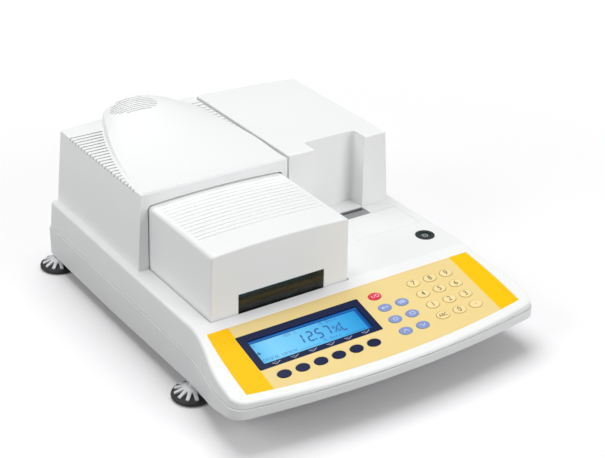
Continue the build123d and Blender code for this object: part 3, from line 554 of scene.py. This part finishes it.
def square_ring(cx, cv, reach, half):
    """Four bars in a square round a centre."""
    left, right, top, bottom = cx - reach, cx + reach, cv - reach, cv + reach
    return [
        bar(left, top, right, top, half),
        bar(left, bottom, right, bottom, half),
        bar(left, top, left, bottom, half),
        bar(right, top, right, bottom, half),
    ]


def display_ink():
    """The dark blue of a segment that is switched on."""
    f = Finish("display_ink")
    tone = f.noise(500.0, 1.0)
    return f.surface({
        "Base Color": f.mix(tone, colour("0552A0"), colour("0A60B0")),
        "Roughness": 0.3 + tone * 0.1,
    })


ink = display_ink()
ink_foot = -1.22
reading_line = 46.2
reading = []
for letter, x in (("1", -80.6), ("2", -69.1), ("5", -58.9), ("7", -49.4), ("L", -31.0)):
    reading += figure(letter, x, reading_line, width=5.4, height=11.8, half=0.92, slant=0.12)
decimal_point = rounded(-62.9, -61.1, 44.9, 46.7, 0.3, 2)
percent_stroke = bar(-39.6, 45.8, -32.0, 37.2, 0.62)
reading += [decimal_point, percent_stroke]
for cx, cv in ((-37.9, 38.9), (-34.4, 44.3)):
    reading += square_ring(cx, cv, 1.3, 0.42)
plus_sign = [bar(-126.0, 41.1, -121.4, 41.1, 0.62), bar(-123.7, 38.6, -123.7, 43.6, 0.62)]
reading += plus_sign
flat_piece("display_reading", reading, ink_foot, 0.06, ink)
print("reading bars:", len(reading))

# %% [markdown]
# ## Small figures
# Round the reading stand a temperature, a time and rows of short words. At this size a word is only
# a rhythm of strokes, so loops draw that rhythm instead of letters.

# %% Small figures of the readout
def small_row(text, x, v, size, pitch):
    """A row of small figures, as of a temperature or a time."""
    bars = []
    for i, letter in enumerate(text):
        if letter == ".":
            bars.append(rounded(x + i * pitch - 0.1, x + i * pitch + 0.5, v - 0.6, v, 0.2, 2))
        else:
            bars += figure(letter, x + i * pitch, v, width=1.7, height=size, half=0.24, slant=0.0)
    return bars


rows = small_row("105 C", -91.0, 31.2, 3.0, 3.4) + small_row("15.0", -50.6, 31.0, 3.0, 3.3)
rows += small_row("15.0", -58.5, 52.0, 3.0, 3.3) + small_row("1", -125.0, 31.4, 2.6, 3.0)
stem, cross = 0.22, 0.2
unit_height = 1.9
for start, v in ((-37.4, 31.0), (-45.3, 52.0)):
    for i in range(3):
        x = start + 3.3 * i
        top = v - unit_height
        rows += [bar(x, v, x, top, stem), bar(x, top, x + 1.6, top, cross)]
        if i != 1:
            rows += [bar(x + 1.6, top, x + 1.6, v, stem)]
word_start, word_pitch, word_foot, word_top, word_gap = -124.4, 2.6, 52.2, 49.4, 7
for i in range(15):
    left = word_start + word_pitch * i
    right = left + 1.3
    if i != word_gap:
        rows += [bar(left, word_foot, left, word_top, stem), bar(left, word_top, right, word_top, cross)]
        if i % 3 != 1:
            rows += [bar(left, word_foot, right, word_foot, cross)]
        if i % 2:
            rows += [bar(right, word_top, right, word_foot, cross)]
rows += [bar(-85.0, 52.3, -60.5, 52.3, 0.14), bar(-33.0, 52.8, -8.0, 52.8, 0.14)]
flat_piece("display_small_figures", rows, ink_foot, 0.05, ink)
print("small bars:", len(rows))

# %% [markdown]
# ## Chevrons printed on the frame
# Six small white chevrons on the display's frame point at the soft keys. They are a thin print, so
# they are plates 0.04 mm thick. Each is two strokes that meet below and a faint line between them.

# %% Chevrons
thin_layer_thickness = 0.04


def worn_flat_colour(name, shade):
    """A flat colour, a little worn in places: printed ink, and also the painted shade round the number keys.
    """
    f = Finish(name)
    wear = f.noise(700.0, 3.0)
    dim = tuple(c * 0.9 for c in shade[:3]) + (1.0,)
    return f.surface({"Base Color": f.mix(wear, dim, shade), "Roughness": 0.4 + wear * 0.15})


white_ink = worn_flat_colour("white_print", colour("B9C0D4"))
pale_ink = worn_flat_colour("pale_sign_print", colour("D3DDF3"))
rose_ink = worn_flat_colour("rose_sign_print", colour("F6C6CE"))
# Brown painted shade round the embossed number keys, laid as a thin ring.
painted_key_rim_shade = worn_flat_colour("painted_rim_shade", colour("B59D68"))
grey_ink = worn_flat_colour("grey_print", colour("594E42"))
soft_key_places = [-116.4 + 20.48 * i for i in range(6)]
chevrons = []
for x in soft_key_places:
    mid = x + 1.2
    chevrons += [bar(mid - 4.6, 57.3, mid - 0.6, 59.9, 0.24), bar(mid - 0.6, 59.9, mid + 4.8, 57.1, 0.28),
                 bar(mid - 2.2, 57.3, mid + 1.2, 57.3, 0.14)]
flat_piece("display_chevrons", chevrons, 0.02, thin_layer_thickness, white_ink)
print("chevrons:", len(soft_key_places))

# %% [markdown]
# ## Painted shade round the number keys
# Each number key sits in a fine brown oval on the film, which is painted shade round the key's
# embossed edge. A curve with a bevel would do as well, but a closed band of small quads gives the
# ring its own flat section.

# %% Key rims
number_keys = [(73.9 + 20.95 * (i % 3), 18.9 + 17.0 * (i // 3)) for i in range(12)]
function_keys = [(25.0 + 21.0 * (i % 2), 37.2 + 18.0 * (i // 2)) for i in range(6)]
power_key = (24.9, 19.4)


def oval(x, v, reach, lift, count):
    """Points of an oval round x, v on the console plane."""
    points = []
    for i in range(count):
        angle = 2 * math.pi * i / count
        points.append(on_console(x + reach[0] * math.cos(angle), v + reach[1] * math.sin(angle), lift))
    return points


def ring_piece(name, sites, inner, outer, lift, thickness, material):
    """Oval rings round keys, here painted shade, each a closed band of small quads."""
    mesh = bmesh.new()
    count = 48
    top = lift + thickness
    for x, v in sites:
        loops = []
        for reach, height in ((inner, lift), (outer, lift), (outer, top), (inner, top)):
            loops.append([mesh.verts.new(point) for point in oval(x, v, reach, height, count)])
        for a, b in ((0, 1), (1, 2), (2, 3), (3, 0)):
            for i in range(count):
                j = (i + 1) % count
                mesh.faces.new((loops[a][i], loops[a][j], loops[b][j], loops[b][i]))
    bmesh.ops.recalc_face_normals(mesh, faces=mesh.faces)
    solid_piece(name, mesh, material, "base")


rim_inside, rim_outside = (7.74, 5.34), (8.02, 5.60)
# Painted shade: a brown ring round each number key stands for the shade at its embossed edge.
ring_piece("key_rim_painted_shade", number_keys, rim_inside, rim_outside, 0.01, thin_layer_thickness, painted_key_rim_shade)
print("rims:", len(number_keys))

# %% [markdown]
# ## Key legends
# The figures are set in a plain sans letter, turned into a mesh, cut into short edges and laid on
# the crowned key by casting each vertex down onto it. A legend rides on its own key, so it goes
# down with it.

# %% Legends
number_names = ["7", "8", "9", "4", "5", "6", "1", "2", "3", "alpha", "0", "point"]
longest_edge = 0.6
legend_thickness = 0.05
legend_lift = 0.015
above_keys = 5.0
key_top = 0.7


def lay_on(mesh, key, site, lift):
    """Casts the flat points of mesh, in millimetres round site, onto the key's top."""
    graph = bpy.context.evaluated_depsgraph_get()
    skin = BVHTree.FromObject(frame["nodes"][key], graph)
    for vert in mesh.verts:
        start = on_console(site[0] + vert.co.x, site[1] - vert.co.y, above_keys)
        hit = skin.ray_cast(start, -off_console)[0]
        if hit is None:
            hit = on_console(site[0], site[1], key_top)
        vert.co = hit + off_console * (lift + vert.co.z) * MM


def legend(key, site, outlines, material):
    """A legend cut from outlines in millimetres, given a little thickness, laid on a key."""
    mesh = bmesh.new()
    for outline in outlines:
        mesh.faces.new([mesh.verts.new((x, y, 0.0)) for x, y in outline])
    finish_legend(mesh, key, site, material)


def finish_legend(mesh, key, site, material):
    """Cuts a flat legend into short edges, thickens it, lays it on its key and lets it ride there."""
    bmesh.ops.triangulate(mesh, faces=mesh.faces)
    for _ in range(3):
        long_edges = [e for e in mesh.edges if e.calc_length() > longest_edge]
        if long_edges:
            bmesh.ops.subdivide_edges(mesh, edges=long_edges, cuts=1)
            bmesh.ops.triangulate(mesh, faces=mesh.faces)
    solid = bmesh.ops.extrude_face_region(mesh, geom=mesh.faces[:])
    for item in solid["geom"]:
        if isinstance(item, bmesh.types.BMVert):
            item.co.z = legend_thickness
    bmesh.ops.recalc_face_normals(mesh, faces=mesh.faces)
    lay_on(mesh, key, site, legend_lift)
    solid_piece(key + "_legend", mesh, material, key + "_body")


def lettered(key, site, text, size, material, squeeze=1.0):
    """A legend set in the plain built-in letter."""
    curve = bpy.data.curves.new("letters", "FONT")
    curve.body, curve.size = text, size
    curve.align_x, curve.align_y = "CENTER", "CENTER"
    holder = bpy.data.objects.new("letters", curve)
    flat = bpy.data.meshes.new_from_object(holder)
    mesh = bmesh.new()
    mesh.from_mesh(flat)
    bmesh.ops.remove_doubles(mesh, verts=mesh.verts, dist=0.002)
    for vert in mesh.verts:
        vert.co.x *= squeeze
        vert.co.z = 0.0
    finish_legend(mesh, key, site, material)
    bpy.data.objects.remove(holder)
    bpy.data.meshes.remove(flat)


for name, site in zip(number_names, number_keys):
    if name == "alpha":
        lettered("key_alpha", site, "ABC", 5.8, grey_ink, 0.95)
    elif name == "point":
        legend("key_point", site, [rounded(-0.5, 0.5, -0.5, 0.5, 0.4, 3)], grey_ink)
    else:
        lettered("key_" + name, site, name, 8.8, grey_ink)
print("legends laid on", len(number_names), "keys")

# %% [markdown]
# ## Signs on the coloured keys
# The red key carries the usual on and off strokes. Each blue key carries a plain sign of a few bars.
# The signs use the same bars as the display, laid on the keys in the same way as the figures.

# %% Signs on the coloured keys
def strokes(*ends):
    """Bars from groups of x0, y0, x1, y1 and half width."""
    return [bar(*five) for five in ends]


def hoop(cx, cy, rx, ry, half, count=20):
    """An oval ring as short quads."""
    quads = []
    for i in range(count):
        a, b = 2 * math.pi * i / count, 2 * math.pi * (i + 1) / count
        quads.append([(cx + (rx - half) * math.cos(a), cy + (ry - half) * math.sin(a)),
                      (cx + (rx + half) * math.cos(a), cy + (ry + half) * math.sin(a)),
                      (cx + (rx + half) * math.cos(b), cy + (ry + half) * math.sin(b)),
                      (cx + (rx - half) * math.cos(b), cy + (ry - half) * math.sin(b))])
    return quads


def scaled(outlines, size):
    """The outlines drawn larger or smaller round their origin."""
    return [[(x * size, y * size) for x, y in outline] for outline in outlines]


power_sign = strokes((-2.6, -1.5, -2.6, 1.5, 0.28), (-1.2, -1.6, 0.4, 1.6, 0.24))
power_sign += hoop(2.2, 0.0, 1.3, 1.5, 0.26)
legend("key_power", power_key, scaled(power_sign, 1.35), rose_ink)
blue_signs = {
    1: strokes((-3.4, 0, 3.4, 0, 0.3), (-3.4, 0, -1.6, 1.5, 0.28), (-3.4, 0, -1.6, -1.5, 0.28)),
    2: strokes((-3.4, 1.2, 3.4, 1.2, 0.28), (-3.4, 0, 3.4, 0, 0.28), (-3.4, -1.2, 3.4, -1.2, 0.28)),
    3: hoop(0, 0, 2.2, 1.6, 0.28),
    4: strokes((-2.4, -1.4, 2.4, -1.4, 0.28), (-2.4, 1.4, 2.4, 1.4, 0.28), (-2.4, -1.4, -2.4, 1.4, 0.28),
               (2.4, -1.4, 2.4, 1.4, 0.28)),
    5: strokes((-2.6, -1.3, 0, 1.5, 0.3), (0, 1.5, 2.6, -1.3, 0.3)),
    6: strokes((-2.6, 1.3, 0, -1.5, 0.3), (0, -1.5, 2.6, 1.3, 0.3)),
}
for number, sign in blue_signs.items():
    legend(f"key_function_{number}", function_keys[number - 1], scaled(sign, 1.15), pale_ink)
print("signs laid on", 1 + len(blue_signs), "keys")

# %% [markdown]
# ## Bubble level
# A round level lets the user set the four feet. It is a low glass dome inside the recess of the black
# ring. The dark green liquid, its bubble, a painted highlight round the bubble and the printed circle
# are masks in the dome's finish.

# %% Bubble level
level_centre = Vector((140.2, -73.2, 79.1)) * MM


def dome(name, radius, rise, base_z, material, count=48, rings=8):
    """A low spherical cap with a flat underside."""
    mesh = bmesh.new()
    loops = []
    for r in range(1, rings + 1):
        share = r / rings
        z = base_z + rise * (1 - share * share)
        loop = []
        for i in range(count):
            angle = 2 * math.pi * i / count
            x = radius * share * math.cos(angle)
            y = radius * share * math.sin(angle)
            loop.append(mesh.verts.new(level_centre + Vector((x, y, z)) * MM))
        loops.append(loop)
    top = mesh.verts.new(level_centre + Vector((0, 0, base_z + rise)) * MM)
    for i in range(count):
        mesh.faces.new((top, loops[0][i], loops[0][(i + 1) % count]))
    for a, b in zip(loops, loops[1:]):
        for i in range(count):
            j = (i + 1) % count
            mesh.faces.new((a[i], b[i], b[j], a[j]))
    mesh.faces.new(loops[-1][::-1])
    bmesh.ops.recalc_face_normals(mesh, faces=mesh.faces)
    for face in mesh.faces:
        face.smooth = True
    solid_piece(name, mesh, material, "base")


def vial_liquid():
    """Dark green liquid with a bubble, a painted highlight round the bubble and a printed circle, all masks
    round the centre.
    """
    f = Finish("level_liquid")
    moved = f.node("VectorMath", {0: f.place(), 1: tuple(level_centre)}, operation="SUBTRACT")
    flat_place = f.node("VectorMath", {0: moved, 1: (1000.0, 1000.0, 0.0)}, operation="MULTIPLY")
    radius = f.node("VectorMath", {0: flat_place}, output="Value", operation="LENGTH")
    circle_radius, bubble_radius = 4.0, 3.0
    circle = abs(radius - circle_radius) < 0.3
    bubble = radius < bubble_radius
    # Painted highlight: a pale ring round the edge of the bubble.
    bubble_painted_highlight = abs(radius - bubble_radius) < 0.35
    mottle = f.noise(800.0, 2.0)
    tone = f.mix(mottle, colour("33413F"), colour("43534F"))
    tone = f.mix(bubble, tone, colour("5A6866"))
    tone = f.mix(bubble_painted_highlight, tone, colour("A7B2B0"))
    tone = f.mix(circle, tone, colour("0B0E0E"))
    return f.surface({
        "Base Color": tone,
        "Roughness": 0.06 + mottle * 0.05,
        "Coat Weight": 0.5,
        "Coat Roughness": 0.03,
    })


dome_rise = 0.45
dome("level_glass", 6.4, dome_rise, -dome_rise, vial_liquid())
print("level at", [round(c, 4) for c in level_centre])

# %% [markdown]
# ## White table
# The floor is a white sweep. Near the object it is a real diffuse surface that takes the shadow, and
# further out it turns into plain white for the camera. Light that bounces off it meets a greyer
# table, so that the left walls stay a clear light grey.

# %% Floor
def floor_finish():
    """White to the eye, but grey to bounced light, so the walls near it stay a clear light grey."""
    f = Finish("white_table")
    flat = f.node("VectorMath", {0: f.place(), 1: (1.0, 1.0, 0.0)}, operation="MULTIPLY")
    reach = f.node("VectorMath", {0: flat}, output="Value", operation="LENGTH")
    fade = f.node("MapRange", {"Value": reach, "From Min": 0.34, "From Max": 0.70})
    speck = f.noise(300.0, 2.0)
    table = f.node("BsdfDiffuse", {"Color": f.mix(speck, colour("FBFAFC"), colour("FFFEFF"))})
    near = f.node("BsdfDiffuse", {"Color": (0.10, 0.10, 0.105, 1)})
    far = f.node("BsdfDiffuse", {"Color": (0.70, 0.70, 0.70, 1)})
    distance = f.node("MapRange", {"Value": reach, "From Min": 0.30, "From Max": 0.60})
    dim_table = f.node("MixShader", {0: distance, 1: near, 2: far})
    white = f.node("Emission", {"Color": (1, 1, 1, 1), "Strength": 1.0})
    camera_ray = f.node("LightPath", output="Is Camera Ray")
    glossy_ray = f.node("LightPath", output="Is Glossy Ray")
    through_ray = f.node("LightPath", output="Is Transmission Ray")
    seen = f.either(f.either(camera_ray, glossy_ray), through_ray)
    shown = f.node("MixShader", {0: fade, 1: table, 2: white})
    return f.surface(None, f.node("MixShader", {0: seen, 1: dim_table, 2: shown}))


table_size = 12.0
under_feet = (0, 0, -0.2 * MM)
bpy.ops.mesh.primitive_grid_add(x_subdivisions=24, y_subdivisions=24, size=table_size, location=under_feet)
floor = bpy.context.object
floor.name = "white_table"
floor.data.materials.append(floor_finish())
print("table", table_size, "m wide")

# %% [markdown]
# ## White air
# The camera sees plain white behind the table. The object itself is lit by a much weaker white from
# all round, which fills the shadows without washing them out.

# %% World
world = bpy.data.worlds.new("studio_air")
bpy.context.scene.world = world
world.use_nodes = True
air = Finish("studio_air", world.node_tree)
camera_ray = air.node("LightPath", output="Is Camera Ray")
through_ray = air.node("LightPath", output="Is Transmission Ray")
seen_air = air.either(camera_ray, through_ray)
ambient = air.node("Background", {"Color": (1.0, 1.0, 1.0, 1), "Strength": 0.26})
backdrop = air.node("Background", {"Color": (1.0, 1.0, 1.0, 1), "Strength": 1.0})
air.node("OutputWorld", {"Surface": air.node("MixShader", {0: seen_air, 1: ambient, 2: backdrop})})
print("world:", world.name)

# %% [markdown]
# ## Soft boxes
# The largest box hangs above and behind and makes the tops white. One in front at the right lights
# the console, and a weaker one at the left keeps that side a clear light grey.

# %% Lamps
def soft_box(name, place, target, size, power):
    """A square area lamp at place, facing target."""
    data = bpy.data.lights.new(name, "AREA")
    data.shape, data.size, data.energy = "SQUARE", size, power
    lamp = bpy.data.objects.new(name, data)
    lamp.location = place
    lamp.rotation_euler = (Vector(target) - Vector(place)).to_track_quat("-Z", "Y").to_euler()
    bpy.context.collection.objects.link(lamp)


centre = (0.0, 0.0, 0.08)
soft_box("overhead_box", (0.05, 0.45, 1.9), centre, 1.5, 25.0)
soft_box("front_box", (0.9, -1.8, 0.9), centre, 1.2, 21.0)
soft_box("left_box", (-1.9, 0.0, 1.1), centre, 1.2, 14.0)
